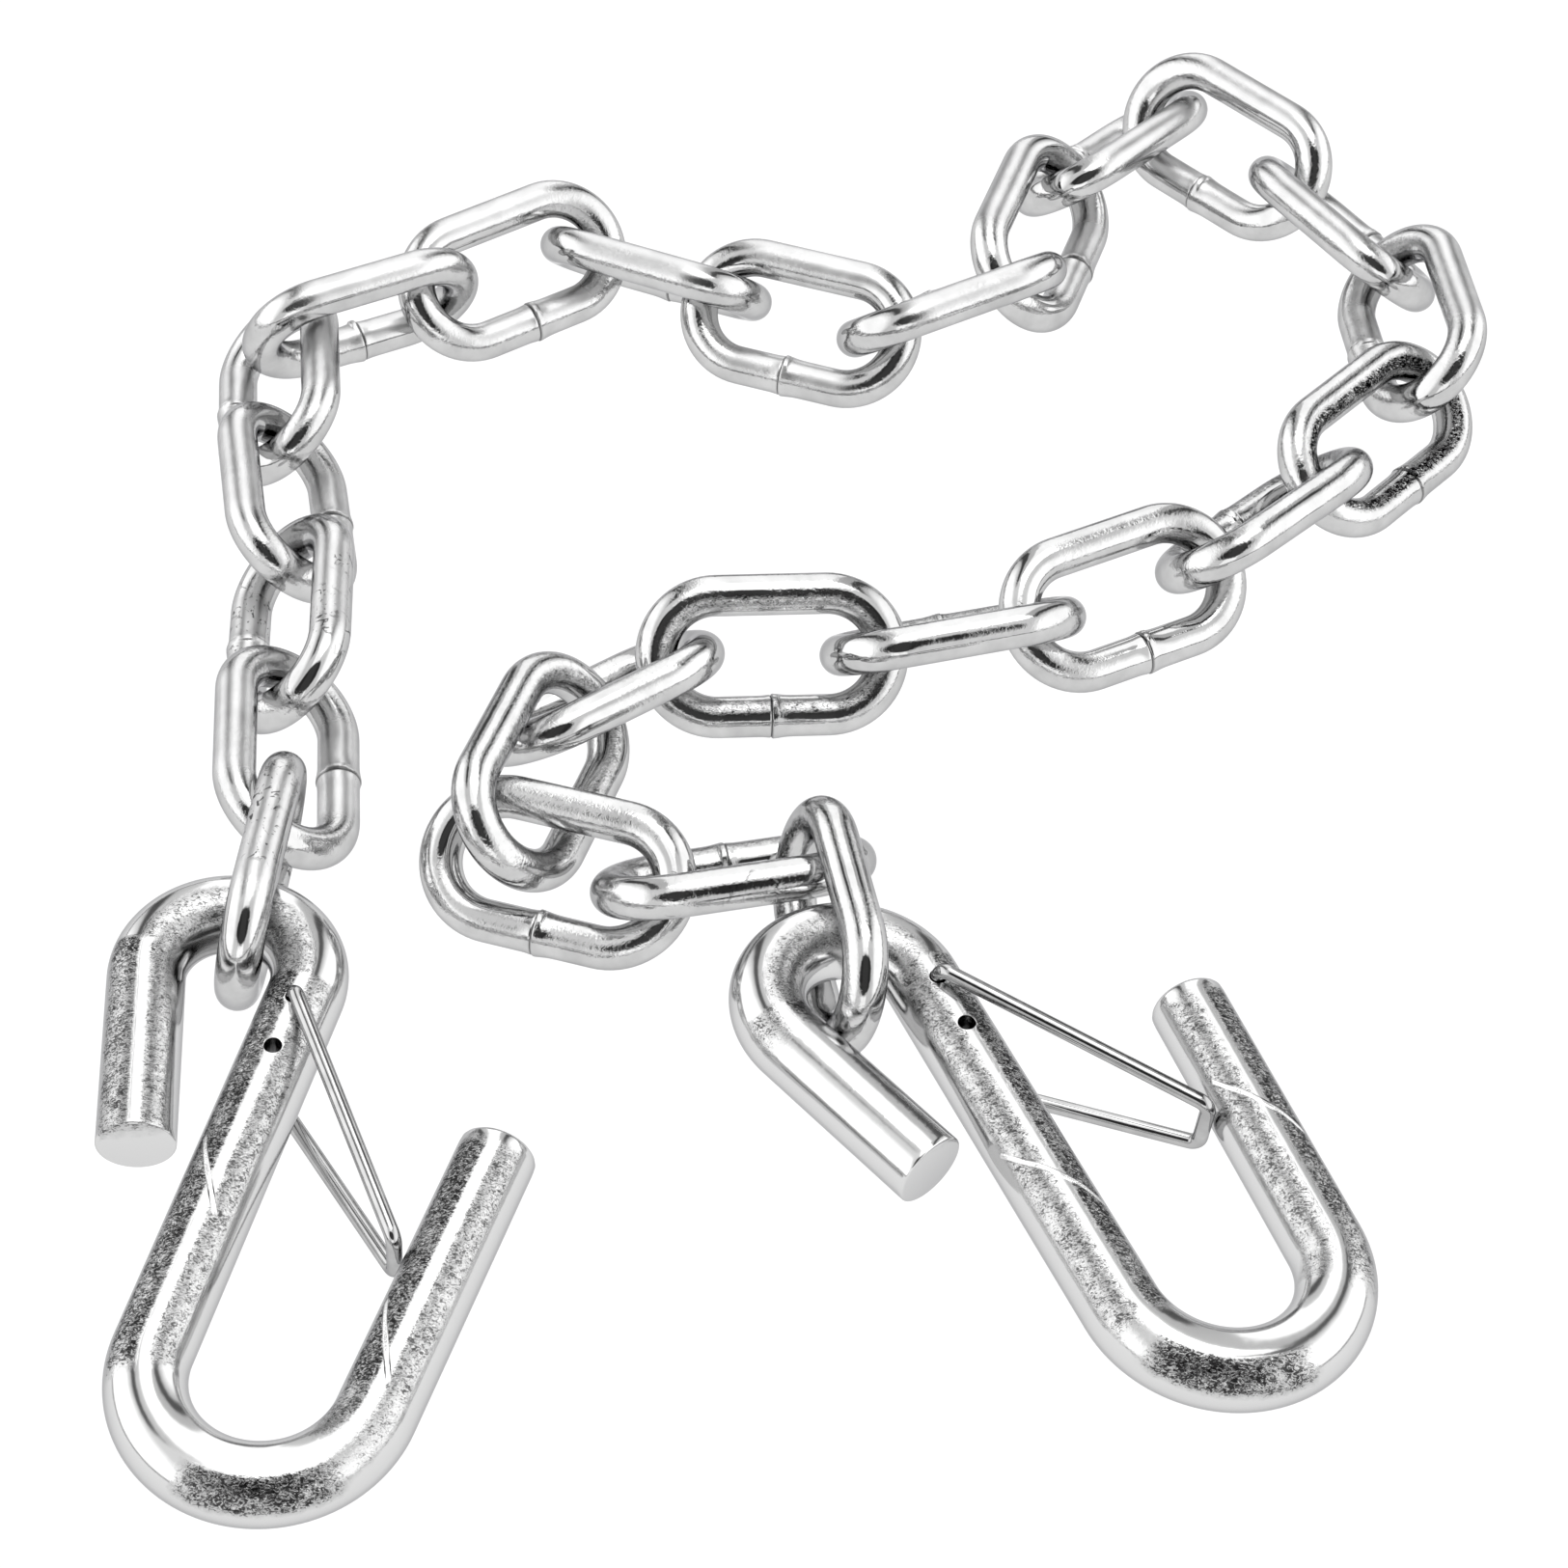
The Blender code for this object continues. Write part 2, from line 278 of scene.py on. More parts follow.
def latch_paths():
    """Centrelines of the latch: the part that turns as one, and the lower end that flexes on the
    real latch.
    """
    low_start = LATCH_NOSE - UP * NOSE_HALF_HEIGHT
    low_end = SPRING_HOLE - UP * LOWER_LEG_HEIGHT
    cut = low_start.lerp(low_end, 1 - FLEX_END)
    stiff = [
        PIVOT_HOLE - UP * UPPER_PEG_DEPTH,
        PIVOT_HOLE + UP * UPPER_LEG_HEIGHT,
        LATCH_NOSE + UP * NOSE_HALF_HEIGHT,
        low_start,
        cut,
    ]
    flexing = [cut, low_end, SPRING_HOLE - UP * LOWER_PEG_DEPTH]
    return (
        filled(rounded(stiff, LATCH_BEND_RADIUS, LATCH_BEND_STEPS), LATCH_STEP),
        filled(rounded(flexing, LATCH_BEND_RADIUS, LATCH_BEND_STEPS), LATCH_STEP),
    )


def directions(path, closed):
    """The path's direction at each of its points."""
    count = len(path)
    legs = [(path[(i + 1) % count] - path[i]).normalized() for i in range(count)]
    if closed:
        return [(legs[i - 1] + legs[i]).normalized() for i in range(count)]
    inner = [(legs[i - 1] + legs[i]).normalized() for i in range(1, count - 1)]
    return [legs[0]] + inner + [legs[count - 2]]


def rim_rows(path, aims, rims):
    """Rows of an open bar, each a (point, aim, inset), with extra rows that round its rims."""
    start_rim, end_rim = rims
    rows = []
    for i in range(RIM_STEPS if start_rim else 0):
        turn = i / RIM_STEPS * math.pi / 2
        forward = start_rim * (1 - math.cos(turn))
        rows.append((path[0] + aims[0] * forward, aims[0], start_rim * (1 - math.sin(turn))))
    runs = [0.0]
    for near, far in zip(path, path[1:]):
        runs.append(runs[-1] + (far - near).length)
    for point, aim, run in zip(path, aims, runs):
        in_start_rim = start_rim and run < start_rim
        in_end_rim = end_rim and run > runs[-1] - end_rim
        if not in_start_rim and not in_end_rim:
            rows.append((point, aim, 0.0))
    for i in range(1, RIM_STEPS + 1 if end_rim else 0):
        turn = i / RIM_STEPS * math.pi / 2
        back = end_rim * (1 - math.sin(turn))
        rows.append((path[-1] - aims[-1] * back, aims[-1], end_rim * (1 - math.cos(turn))))
    return rows


def swept(name, path, sides, closed, radius_at, marks_at, first_side, rims=(0, 0)):
    """Mesh of a round bar along a path.

    radius_at(point, outward) is the bar's radius, and marks_at(point, outward) gives the
    values of the surface attributes, where point is on the path and outward is the direction
    from it to the surface. rims are the rounding radii at the two ends of an open bar.
    """
    shape = bmesh.new()
    aims = directions(path, closed)
    if closed:
        rows = [(point, aim, 0.0) for point, aim in zip(path, aims)]
    else:
        rows = rim_rows(path, aims, rims)
    side = first_side
    previous_aim = rows[0][1]
    rings = []
    marks = []
    for point, aim, inset in rows:
        side = previous_aim.rotation_difference(aim) @ side
        side = (side - side.dot(aim) * aim).normalized()
        previous_aim = aim
        across = aim.cross(side)
        ring = []
        for k in range(sides):
            angle = 2 * math.pi * k / sides
            outward = math.cos(angle) * side + math.sin(angle) * across
            corner = point + (radius_at(point, outward) - inset) * outward
            ring.append(shape.verts.new(corner))
            marks.append(marks_at(point, outward))
        rings.append(ring)
    pairs = list(zip(rings, rings[1:]))
    if closed:
        pairs.append((rings[-1], rings[0]))
    for near, far in pairs:
        for k in range(sides):
            following = (k + 1) % sides
            shape.faces.new((near[k], near[following], far[following], far[k]))
    if not closed:
        shape.faces.new(list(reversed(rings[0])))
        shape.faces.new(rings[-1])
    mesh = bpy.data.meshes.new(name)
    shape.to_mesh(mesh)
    shape.free()
    for layer in marks[0]:
        attribute = mesh.attributes.new(layer, "FLOAT", "POINT")
        attribute.data.foreach_set("value", [mark[layer] for mark in marks])
    return mesh


def on_welded_rail(point):
    """Whether a point of a link's centreline is on its welded rail."""
    return point.y > 0.99 * CROWN_RADIUS


def link_radius(point, outward):
    """The wire's radius: the weld swells to a grooved seam, with a flash tab before it."""
    if not on_welded_rail(point):
        return WIRE_RADIUS
    past = point.x - SEAM_PLACE
    height, width = SWELLING_BEFORE if past < 0 else SWELLING_AFTER
    groove = GROOVE_DEPTH * bell(past, GROOVE_WIDTH)
    flash = FLASH_HEIGHT * band(past, FLASH_START, FLASH_END, FLASH_FADE)
    flash *= smooth(outward.dot(FLASH_DIRECTION), *FLASH_EDGE)
    return WIRE_RADIUS + height * bell(past, width) - groove + flash


def link_marks(name, matrix):
    """A function for one link's surface attributes: dark seam, scale with painted dark reflection,
    dull crest with painted sheen, nicks.
    """
    amount = LINK_SCALE_AND_DARK_REFLECTION.get(name, 0.0)
    dullness = 1.0 if name <= LAST_DULL_LINK else 0.0
    nicked = 1.0 if name in NICKED_LINKS else 0.0
    up = matrix.to_3x3().inverted() @ UP

    def marks(point, outward):
        seam = bell(point.x - SEAM_PLACE, SEAM_WIDTH) if on_welded_rail(point) else 0.0
        middle_x = max(-RAIL_HALF_LENGTH, min(RAIL_HALF_LENGTH, point.x))
        inward = Vector((middle_x - point.x, -point.y, 0)).normalized()
        # The scale attribute: crackled scale, whose darkening is partly a painted dark reflection
        scale = amount * band(outward.dot(inward), *INNER_BAND, INNER_BAND_FADE)
        scale *= smooth(outward.z, *LINK_TOP_FADE)
        on_rail = 1 - smooth(abs(point.x) - RAIL_HALF_LENGTH, 0, RAIL_FADE)
        # Where the crest faces up: a rougher dull finish, and a little lighter as a painted sheen
        dull_and_sheen = dullness * on_rail * smooth(outward.dot(up), *CREST_FADE)
        return {"seam": seam, "scale": scale, "dull_and_sheen": dull_and_sheen, "nicks": nicked * on_rail}

    return marks


def hook_scale_and_dark_reflection(point, outward, amount, tip_end):
    """How much scale, with its painted dark reflection, a hook has at a place: two bands beside
    the crest, and a patch on the bowl.
    """
    scale = amount["left"] * band(outward.x, *LEFT_BAND, BAND_FADE)
    scale += amount["right"] * band(outward.x, *RIGHT_BAND, BAND_FADE)
    if point.y < -SHANK_LENGTH:
        around = Vector((point.x - BOWL_RADIUS, point.y + SHANK_LENGTH, 0)).normalized()
        turn = math.atan2(-around.y, -around.x) / DEGREE
        scale *= max(1 - smooth(turn, *BOWL_FADE_OUT), 0.8 * smooth(turn, *BOWL_FADE_IN))
        patch = band(outward.dot(around), *PATCH_BAND, PATCH_BAND_FADE)
        scale += patch * band(turn, *amount["patch"], PATCH_FADE)
    if point.x < -EYE_RADIUS and point.y < 0:
        scale *= max(amount["stub"], smooth(point.y, *STUB_FADE))
    if point.y > 0:
        inward = Vector((-EYE_RADIUS - point.x, -point.y, 0)).normalized()
        scale = amount["eye"] * band(outward.dot(inward), *EYE_BAND, EYE_BAND_FADE)
    if point.x > BOWL_RADIUS:
        scale *= 1 - smooth(point.y - tip_end.y, *TIP_FADE)
    return min(1.0, scale * smooth(outward.z, *HOOK_TOP_FADE))


def line_distance(place, line):
    """Signed distance from a place to a line, and the share of the line at which it lies."""
    (start_x, start_y), (end_x, end_y) = line
    length = math.hypot(end_x - start_x, end_y - start_y)
    ahead = ((end_x - start_x) / length, (end_y - start_y) / length)
    offset = (place[0] - start_x, place[1] - start_y)
    away = ahead[0] * offset[1] - ahead[1] * offset[0]
    return away, (ahead[0] * offset[0] + ahead[1] * offset[1]) / length


def hook_marks(side):
    """A function for one hook's surface attributes: crackled scale with a painted dark reflection,
    and a scratch on each leg.
    """
    tip_end = hook_path()[-1]

    def marks(point, outward):
        leg = "tip" if point.x > BOWL_RADIUS else "shank"
        round_bar = math.atan2(outward.x, outward.z) * BAR_RADIUS
        place = (point.y / MM, round_bar / MM)
        away, share = line_distance(place, SCRATCHES[side][leg])
        straight = point.x > -BAR_RADIUS and point.y < 0
        near = straight and -0.02 < share < 1.02 and abs(away) < SCRATCH_REACH
        scale = hook_scale_and_dark_reflection(point, outward, HOOK_SCALE_AND_DARK_REFLECTION[side], tip_end)
        return {"scale": scale, "scratch": away / SCRATCH_RANGE, "scratched": float(near)}

    return marks


def add_piece(name, mesh, matrix, material, body=None):
    """A shaded piece whose mesh is put in its place in the row frame, riding on a body."""
    mesh.transform(matrix)
    piece = bpy.data.objects.new(name, mesh)
    bpy.context.scene.collection.objects.link(piece)
    mesh.materials.append(material)
    mesh.shade_smooth()
    mesh.set_sharp_from_angle(angle=SHARP_ANGLE)
    bpy.context.view_layer.update()
    if body:
        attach(piece, body)
    return piece


def link_matrix(node):
    """A link's place, from the middle and the principal axes of its CAD node.

    The welded rail is the lower one, and the link's own Z axis points up.
    """
    corners = np.array([vertex.co for vertex in node.data.vertices])
    middle = corners.mean(axis=0)
    axes = np.linalg.eigh(np.cov((corners - middle).T)).eigenvectors
    length = Vector(axes[:, 2])
    width = Vector(axes[:, 1])
    if width.z > 0:
        width = -width
    normal = length.cross(width)
    if normal.z < 0:
        length = -length
        normal = -normal
    turn = Matrix((length, width, normal)).transposed().to_4x4()
    return Matrix.Translation(Vector(middle)) @ turn


def hook_matrix(side):
    """A hook's place, from its latch hinge and the flat face at its tip."""
    record = frame["record"]
    hinge = next(j for j in record["behaviour"]["joints"] if j["name"] == f"latch_{side}_hinge")
    tip = next(m for m in record["mounts"] if m["name"] == f"{side}_tip_end")
    normal = -Vector(hinge["axis"]).normalized()
    pivot = Vector(hinge["pos_m"])
    world_run = Vector(tip["pos_m"]) - pivot
    own_run = hook_path()[-1] - PIVOT_HOLE
    turn_back = Vector((own_run.x, own_run.y)).angle_signed(Vector((1, 0)))
    ahead = world_run.normalized()
    along = Matrix((ahead, normal.cross(ahead), normal)).transposed()
    turn = along @ Matrix.Rotation(-turn_back, 3, "Z")
    return Matrix.Translation(pivot) @ turn.to_4x4() @ Matrix.Translation(-PIVOT_HOLE)


def drill(piece, matrix, centre):
    """Drill a cross hole through a hook's shank."""
    shape = bmesh.new()
    bmesh.ops.create_cone(
        shape, segments=DRILL_SIDES, radius1=LATCH_HOLE_RADIUS, radius2=LATCH_HOLE_RADIUS,
        depth=DRILL_LENGTH, cap_ends=True,
    )
    mesh = bpy.data.meshes.new("drill")
    shape.to_mesh(mesh)
    shape.free()
    cutter = bpy.data.objects.new("drill", mesh)
    bpy.context.scene.collection.objects.link(cutter)
    cutter.matrix_world = matrix @ Matrix.Translation(centre)
    cut = piece.modifiers.new("hole", "BOOLEAN")
    cut.operation = "DIFFERENCE"
    cut.solver = "EXACT"
    cut.object = cutter
    bpy.context.view_layer.update()
    with bpy.context.temp_override(object=piece, active_object=piece):
        bpy.ops.object.modifier_apply(modifier=cut.name)
    bpy.data.objects.remove(cutter)


class Nodes:
    """A short way to write a node tree. An input is a number or another node's output."""

    def __init__(self, tree):
        self.new = tree.nodes.new
        self.link = tree.links.new

    def maths(self, operation, *values, clamp=False):
        """A math node's output."""
        node = self.new("ShaderNodeMath")
        node.operation = operation
        node.use_clamp = clamp
        for socket, value in zip(node.inputs, values):
            if isinstance(value, bpy.types.NodeSocket):
                self.link(value, socket)
            else:
                socket.default_value = value
        return node.outputs[0]

    def plus(self, a, b, clamp=False):
        """The sum of two inputs."""
        return self.maths("ADD", a, b, clamp=clamp)

    def minus(self, a, b, clamp=False):
        """The first input less the second."""
        return self.maths("SUBTRACT", a, b, clamp=clamp)

    def times(self, a, b):
        """The product of two inputs."""
        return self.maths("MULTIPLY", a, b)

    def larger(self, a, b):
        """The larger of two inputs."""
        return self.maths("MAXIMUM", a, b)

    def ramp(self, source, *stops):
        """A colour ramp's output, with each stop a (position, grey)."""
        node = self.new("ShaderNodeValToRGB")
        elements = node.color_ramp.elements
        while len(elements) < len(stops):
            elements.new(0.5)
        for element, (position, grey) in zip(elements, stops):
            element.position = position
            element.color = (grey, grey, grey, 1)
        self.link(source, node.inputs[0])
        return node.outputs[0]

    def noise(self, vector, scale, detail, roughness=0.5, distortion=0.0):
        """A noise texture's value."""
        node = self.new("ShaderNodeTexNoise")
        self.link(vector, node.inputs["Vector"])
        node.inputs["Scale"].default_value = scale
        node.inputs["Detail"].default_value = detail
        node.inputs["Roughness"].default_value = roughness
        node.inputs["Distortion"].default_value = distortion
        return node.outputs["Fac"]

    def attribute(self, name):
        """A mesh attribute's value."""
        node = self.new("ShaderNodeAttribute")
        node.attribute_name = name
        return node.outputs["Fac"]


def metal(name):
    """A new metal material with its node helper, surface node and object coordinates."""
    material = bpy.data.materials.new(name)
    material.use_nodes = True
    nodes = Nodes(material.node_tree)
    surface = material.node_tree.nodes["Principled BSDF"]
    surface.inputs["Metallic"].default_value = 1.0
    surface.inputs["Specular Tint"].default_value = (0.55, 0.55, 0.56, 1)
    place = nodes.new("ShaderNodeTexCoord").outputs["Object"]
    return material, nodes, surface, place


def bump(nodes, surface, height, distance, strength):
    """Send a height to the surface's normal."""
    node = nodes.new("ShaderNodeBump")
    node.inputs["Strength"].default_value = strength
    node.inputs["Distance"].default_value = distance
    nodes.link(height, node.inputs["Height"])
    nodes.link(node.outputs["Normal"], surface.inputs["Normal"])


def crackled(nodes, place):
    """Crackled scale where the scale attribute is: how much of it there is, which also sets a
    painted dark reflection, its pattern and its dark specks.
    """
    skew = nodes.new("ShaderNodeMapping")
    nodes.link(place, skew.inputs["Vector"])
    skew.inputs["Rotation"].default_value = (0, 0, 0.4)
    skew.inputs["Scale"].default_value = (0.55, 1.0, 0.8)
    crackle = nodes.noise(skew.outputs[0], 2100, detail=4.0, roughness=0.64, distortion=1.6)
    cloud = nodes.noise(place, 150, detail=4.0, roughness=0.65)
    fray = nodes.minus(nodes.noise(place, 600, detail=3.0, roughness=0.6), 0.5)
    frayed = nodes.plus(nodes.attribute("scale"), nodes.times(fray, 0.6))
    frayed = nodes.ramp(frayed, (0.15, 0.0), (1.0, 1.0))
    scale_and_dark_reflection = nodes.times(frayed, nodes.ramp(cloud, (0.32, 0.75), (0.50, 1.0)))
    speck_limit = nodes.maths("MULTIPLY_ADD", scale_and_dark_reflection, 0.20, 0.36)
    specks = nodes.times(nodes.minus(speck_limit, crackle), 14.0)
    specks = nodes.ramp(specks, (0.0, 0.0), (1.0, 1.0))
    specks = nodes.times(specks, nodes.maths("MINIMUM", nodes.times(scale_and_dark_reflection, 2.0), 1.0))
    return scale_and_dark_reflection, crackle, specks


def link_zinc():
    """Plating on drawn wire: bright, dull with a painted sheen, or crackled with a painted dark
    reflection, with nicks and a dark seam at the weld.
    """
    material, nodes, surface, place = metal("bright_link_zinc")
    scale_and_dark_reflection, crackle, specks = crackled(nodes, place)
    cloud = nodes.noise(place, 180, detail=3.0)
    dull_and_sheen = nodes.attribute("dull_and_sheen")

    tone = nodes.ramp(cloud, (0.3, 0.50), (0.7, 0.62))
    # Dull crests a little lighter: a painted sheen
    tone = nodes.plus(tone, nodes.times(dull_and_sheen, 0.05))
    # Darker where the scale lies: partly the scale's own colour, partly a painted dark reflection
    tone = nodes.minus(tone, nodes.times(scale_and_dark_reflection, 0.30))
    tone = nodes.minus(tone, nodes.times(specks, 0.30), clamp=True)
    glint = nodes.times(nodes.ramp(crackle, (0.60, 0.0), (0.66, 0.45)), scale_and_dark_reflection)
    tone = nodes.plus(tone, glint)
    nicks = nodes.noise(place, 620, detail=3.0, roughness=0.6, distortion=1.2)
    nicks = nodes.ramp(nicks, (0.375, 0.85), (0.40, 0.0))
    nicked = nodes.ramp(nodes.noise(place, 70, detail=2.0), (0.47, 0.0), (0.53, 1.0))
    nicks = nodes.times(nodes.times(nicks, nicked), nodes.attribute("nicks"))
    tone = nodes.times(tone, nodes.minus(1.0, nicks))
    tone = nodes.times(tone, nodes.minus(1.0, nodes.times(nodes.attribute("seam"), 0.75)))
    nodes.link(tone, surface.inputs["Base Color"])

    roughness = nodes.ramp(cloud, (0.3, 0.03), (0.7, 0.07))
    haze = nodes.plus(nodes.times(dull_and_sheen, 0.27), nodes.times(scale_and_dark_reflection, 0.12))
    roughness = nodes.plus(roughness, haze)
    nodes.link(roughness, surface.inputs["Roughness"])

    ripple = nodes.times(nodes.noise(place, 260, detail=1.0), 0.10)
    grit = nodes.noise(place, 1300, detail=3.0, roughness=0.6, distortion=1.0)
    gritty = nodes.ramp(nodes.noise(place, 90, detail=2.0), (0.38, 0.08), (0.56, 1.0))
    grit = nodes.times(grit, nodes.times(gritty, 0.13))
    relief = nodes.times(nodes.times(crackle, scale_and_dark_reflection), 0.3)
    height = nodes.plus(nodes.plus(ripple, grit), relief)
    bump(nodes, surface, height, 1.0 * MM, 0.4)
    return material


def hook_zinc():
    """Plating over forged bar: smooth on the crests, with bands of dark crackled scale, their
    darkness partly a painted dark reflection.
    """
    material, nodes, surface, place = metal("mottled_hook_zinc")
    scale_and_dark_reflection, crackle, specks = crackled(nodes, place)

    scratch = nodes.ramp(
        nodes.maths("ABSOLUTE", nodes.attribute("scratch")),
        (0.5 * SCRATCH_WIDTH / SCRATCH_RANGE, 1.0), (SCRATCH_WIDTH / SCRATCH_RANGE, 0.0),
    )
    scratch = nodes.times(scratch, nodes.attribute("scratched"))

    # Darker where the scale lies: partly the scale's own colour, partly a painted dark reflection
    tone = nodes.minus(0.66, nodes.times(scale_and_dark_reflection, 0.27))
    tone = nodes.minus(tone, nodes.times(specks, 0.36), clamp=True)
    glint = nodes.times(nodes.ramp(crackle, (0.58, 0.0), (0.68, 0.30)), scale_and_dark_reflection)
    tone = nodes.plus(tone, glint, clamp=True)
    tone = nodes.larger(tone, nodes.times(scratch, 0.95))
    nodes.link(tone, surface.inputs["Base Color"])

    roughness = nodes.maths("MULTIPLY_ADD", scale_and_dark_reflection, 0.10, 0.13)
    nodes.link(roughness, surface.inputs["Roughness"])

    broad = nodes.times(nodes.noise(place, 220, detail=2.0), 0.35)
    height = nodes.plus(nodes.times(crackle, scale_and_dark_reflection), broad)
    height = nodes.plus(height, nodes.times(scratch, 0.8))
    bump(nodes, surface, height, 0.3 * MM, 0.33)
    return material


def latch_steel():
    """Plated spring wire, faintly uneven."""
    material, nodes, surface, place = metal("latch_wire_steel")
    cloud = nodes.noise(place, 300, detail=2.0)
    nodes.link(nodes.ramp(cloud, (0.3, 0.40), (0.7, 0.50)), surface.inputs["Base Color"])
    nodes.link(nodes.ramp(cloud, (0.3, 0.04), (0.7, 0.09)), surface.inputs["Roughness"])
    bump(nodes, surface, nodes.noise(place, 900, detail=1.0), 0.03 * MM, 0.5)
    return material


def add_links(material):
    """One welded link for each link node."""
    for name, node in frame["nodes"].items():
        if not name.startswith("link_"):
            continue
        matrix = link_matrix(node)
        marks = link_marks(name, matrix)
        mesh = swept(name, link_path(), WIRE_SIDES, True, link_radius, marks, UP)
        piece = add_piece(f"{name}_wire", mesh, matrix, material, name)
        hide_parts(name)


def add_hook(side, material):
    """A hook bar with its two drilled holes."""
    name = f"hook_{side}_bar"
    matrix = hook_matrix(side)
    mesh = swept(
        name, hook_path(), BAR_SIDES, False,
        lambda point, outward: BAR_RADIUS, hook_marks(side), UP, (STUB_RIM, TIP_RIM),
    )
    piece = add_piece(name, mesh, matrix, material)
    drill(piece, matrix, PIVOT_HOLE)
    drill(piece, matrix, SPRING_HOLE)
    piece.data.set_sharp_from_angle(angle=SHARP_ANGLE)
    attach(piece, f"hook_{side}")
    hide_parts(f"hook_{side}")
    return matrix


def latch_wire(name, path, first_side, rims):
    """Mesh of a stretch of latch wire."""
    return swept(
        name, path, LATCH_SIDES, False,
        lambda point, outward: LATCH_RADIUS, lambda point, outward: {}, first_side, rims,
    )


def add_latch(side, matrix, material):
    """The latch wire: one stiff piece, and the lower end that flexes on the real latch, here a
    separate piece on no body.
    """
    stiff_path, flex_path = latch_paths()
    stiff = latch_wire("latch", stiff_path, Vector((1, 0, 0)), (LATCH_RIM, 0))
    piece = add_piece(f"latch_{side}_wire", stiff, matrix, material, f"latch_{side}")
    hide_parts(f"latch_{side}")
    lead = (flex_path[1] - flex_path[0]).normalized()
    flex = latch_wire("latch_end", flex_path, lead.cross(UP).normalized(), (0, LATCH_RIM))
    end = add_piece(f"latch_{side}_spring_end", flex, matrix, material)
    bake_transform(end)


def add_camera():
    """The camera, looking down at the chain from the front."""
    data = bpy.data.cameras.new("camera")
    data.lens = CAMERA_LENS
    data.clip_end = VIEW_RANGE
    camera = bpy.data.objects.new("camera", data)
    bpy.context.scene.collection.objects.link(camera)
    offset = Vector((0, -math.cos(CAMERA_ELEVATION), math.sin(CAMERA_ELEVATION)))
    camera.location = AIM + CAMERA_DISTANCE * offset
    camera.rotation_euler = (math.pi / 2 - CAMERA_ELEVATION, 0, 0)
    bpy.context.scene.camera = camera


def add_lamp():
    """A weak soft lamp above the chain, facing the origin."""
    data = bpy.data.lights.new("overhead", "AREA")
    data.energy = LAMP_POWER
    data.shape = "RECTANGLE"
    data.size = LAMP_SIZE
    data.size_y = LAMP_SIZE
    lamp = bpy.data.objects.new("overhead", data)
    bpy.context.scene.collection.objects.link(lamp)
    lamp.location = LAMP_PLACE
    lamp.rotation_euler = (-Vector(LAMP_PLACE)).to_track_quat("-Z", "Y").to_euler()


def add_floor():
    """A pale floor below the chain."""
    shape = bmesh.new()
    bmesh.ops.create_grid(shape, x_segments=1, y_segments=1, size=FLOOR_SIZE / 2)
    mesh = bpy.data.meshes.new("floor")
    shape.to_mesh(mesh)
    shape.free()
    floor = bpy.data.objects.new("floor", mesh)
    floor.location = (0, 0, -FLOOR_DROP)
    bpy.context.scene.collection.objects.link(floor)
    paper = bpy.data.materials.new("floor_paper")
    paper.use_nodes = True
    surface = paper.node_tree.nodes["Principled BSDF"]
    surface.inputs["Base Color"].default_value = (FLOOR_GREY, FLOOR_GREY, FLOOR_GREY, 1)
    surface.inputs["Roughness"].default_value = FLOOR_ROUGHNESS
    surface.inputs["Emission Color"].default_value = (1, 1, 1, 1)
    surface.inputs["Emission Strength"].default_value = FLOOR_GLOW
    mesh.materials.append(paper)


def side_gaps(nodes, x, y, sideways, above):
    """How dark the surround is behind the chain: upright gaps on both sides, and a grey panel."""
    panels = nodes.ramp(
        sideways,
        (0.0, 1.0), (0.25, 1.0), (0.28, 0.86), (0.41, 0.78),
        (0.44, 0.10), (0.53, 0.08), (0.58, 0.9), (0.70, 1.0),
    )
    east = nodes.ramp(x, (0.20, 0.0), (0.25, 0.30), (0.50, 0.30), (0.62, 0.0))
    behind = nodes.ramp(y, (0.0, 0.0), (0.12, 1.0))
    gaps = nodes.larger(nodes.minus(1.0, panels), east)
    return nodes.times(gaps, nodes.times(above, behind))


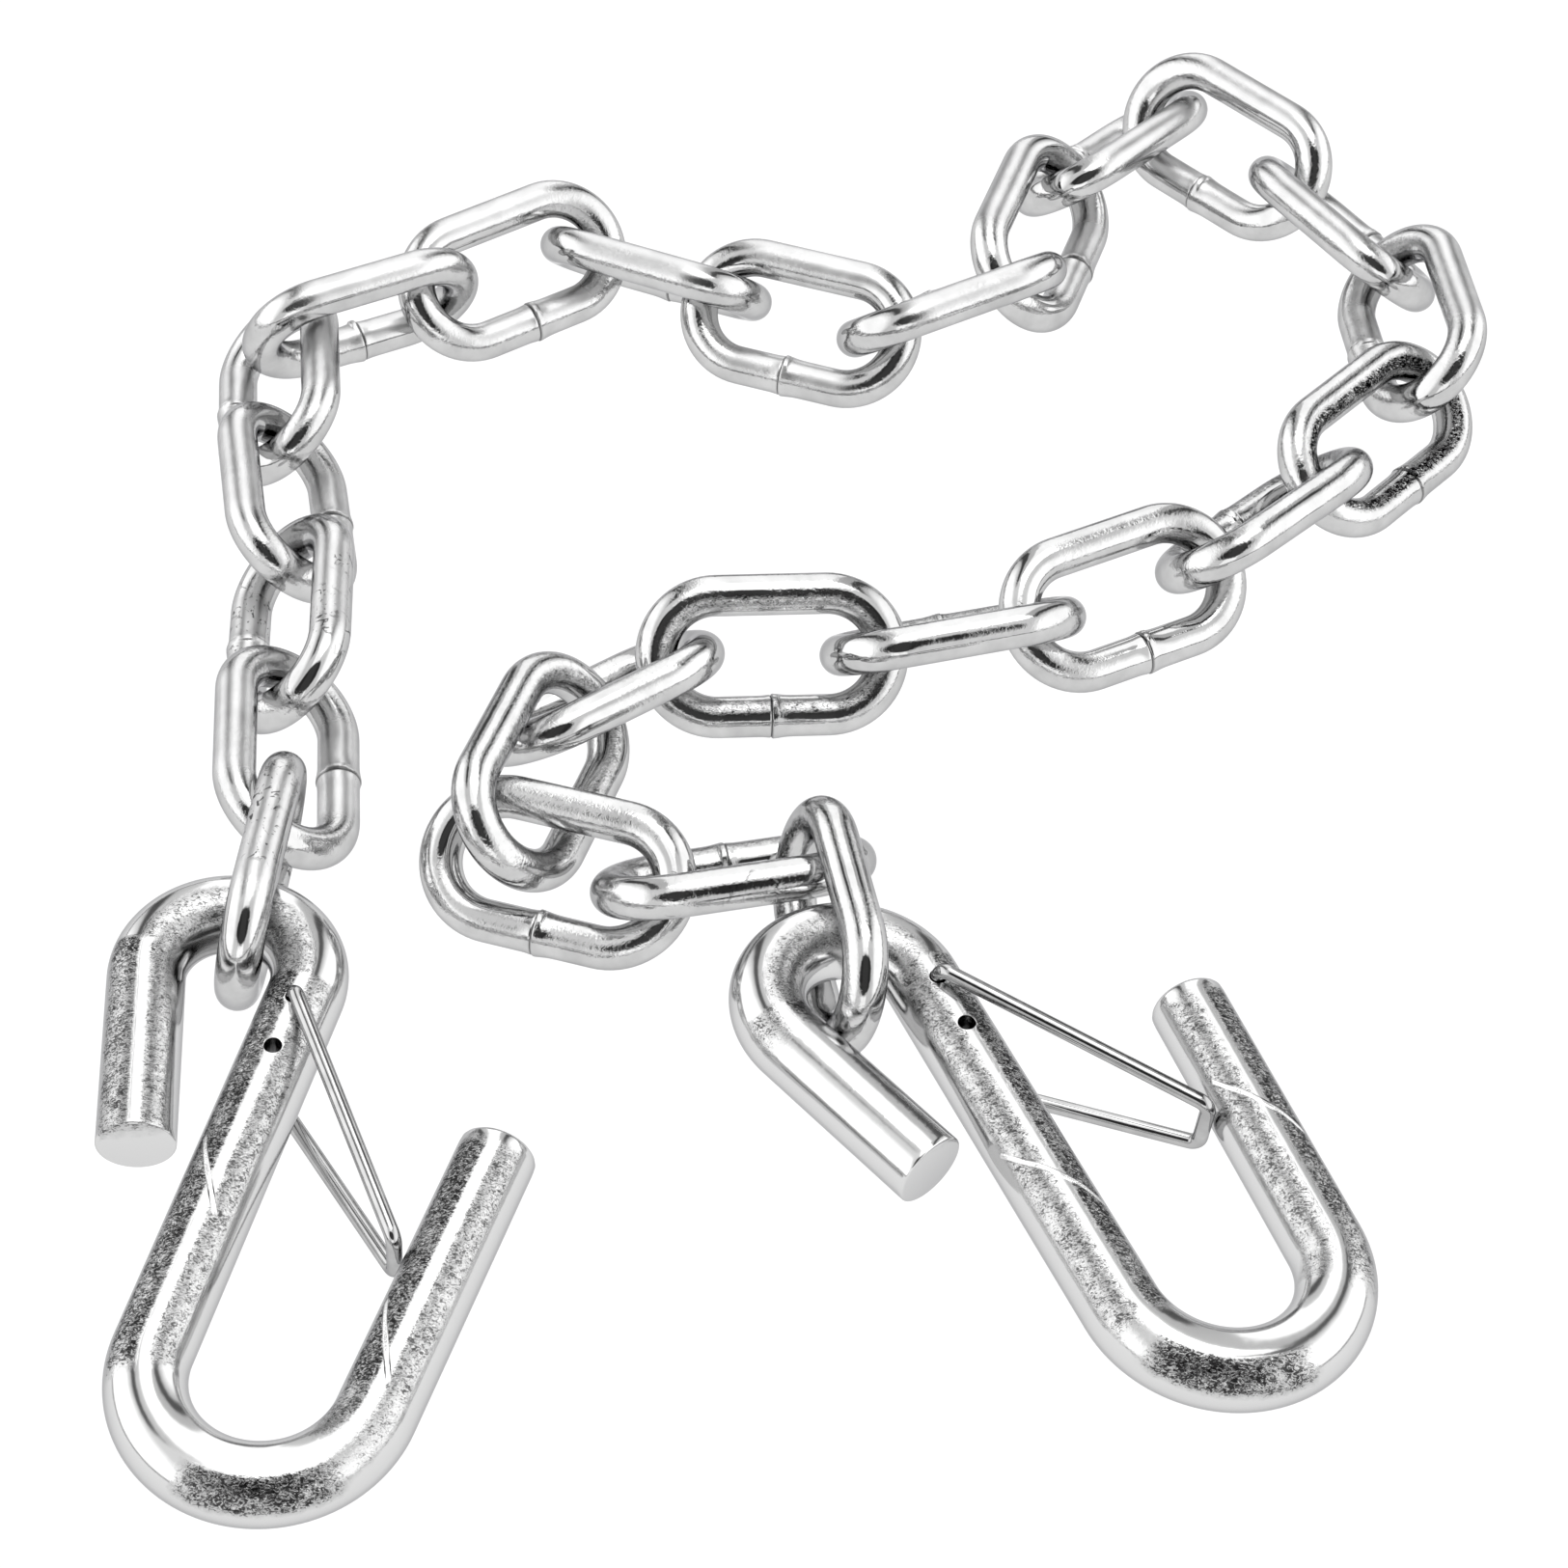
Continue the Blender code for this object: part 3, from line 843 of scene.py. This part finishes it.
def camera_patch(nodes, direction, x, y, wander):
    """How dark the surround is on the camera's side: one patch with an uneven edge."""
    upward = nodes.new("ShaderNodeVectorMath")
    upward.operation = "DOT_PRODUCT"
    nodes.link(direction, upward.inputs[0])
    upward.inputs[1].default_value = (0, math.sin(PATCH_ELEVATION), math.cos(PATCH_ELEVATION))
    off_side = nodes.maths("POWER", nodes.maths("DIVIDE", x, PATCH_HALF_WIDTH), 2.0)
    off_level = nodes.maths("DIVIDE", upward.outputs["Value"], PATCH_HALF_HEIGHT)
    off_level = nodes.maths("POWER", off_level, 2.0)
    away = nodes.minus(nodes.plus(off_side, off_level), nodes.times(wander, 5.0))
    ahead = nodes.maths("LESS_THAN", y, 0.0)
    return nodes.times(nodes.ramp(away, (0.40, 0.97), (0.62, 0.0)), ahead)


def add_surround():
    """A bright surround, with a brighter strip and sides, and the dark places that metal needs."""
    world = bpy.data.worlds.new("studio")
    bpy.context.scene.world = world
    world.use_nodes = True
    nodes = Nodes(world.node_tree)
    direction = nodes.new("ShaderNodeTexCoord").outputs["Generated"]
    parts = nodes.new("ShaderNodeSeparateXYZ")
    nodes.link(direction, parts.inputs[0])
    x, y, z = parts.outputs
    wander = nodes.times(nodes.noise(direction, 2.5, detail=2.0), 0.10)
    sideways = nodes.plus(nodes.maths("ABSOLUTE", x), wander)
    above = nodes.ramp(z, (0.0, 0.0), (0.10, 1.0))

    horizon = nodes.ramp(z, (0.0, 0.0), (0.012, 0.8), (0.055, 0.8), (0.08, 0.0))
    patch = camera_patch(nodes, direction, x, y, wander)
    dark = nodes.larger(side_gaps(nodes, x, y, sideways, above), nodes.larger(patch, horizon))

    strip = nodes.times(nodes.ramp(sideways, (0.25, 1.0), (0.28, 0.0)), 0.7)
    sides = nodes.times(nodes.ramp(sideways, (0.60, 0.0), (0.75, 1.0)), 0.8)
    bright = nodes.times(nodes.larger(strip, sides), above)

    background = world.node_tree.nodes["Background"]
    glow = nodes.times(nodes.plus(1.0, bright), nodes.minus(1.01, dark))
    nodes.link(glow, background.inputs["Color"])
    background.inputs["Strength"].default_value = 1.0


def main():
    """Build the pieces, the camera and the studio."""
    bpy.context.scene.view_settings.view_transform = "Standard"
    add_links(link_zinc())
    bar = hook_zinc()
    wire = latch_steel()
    for side in ("left", "right"):
        matrix = add_hook(side, bar)
        add_latch(side, matrix, wire)
    add_camera()
    add_floor()
    add_surround()
    add_lamp()


main()
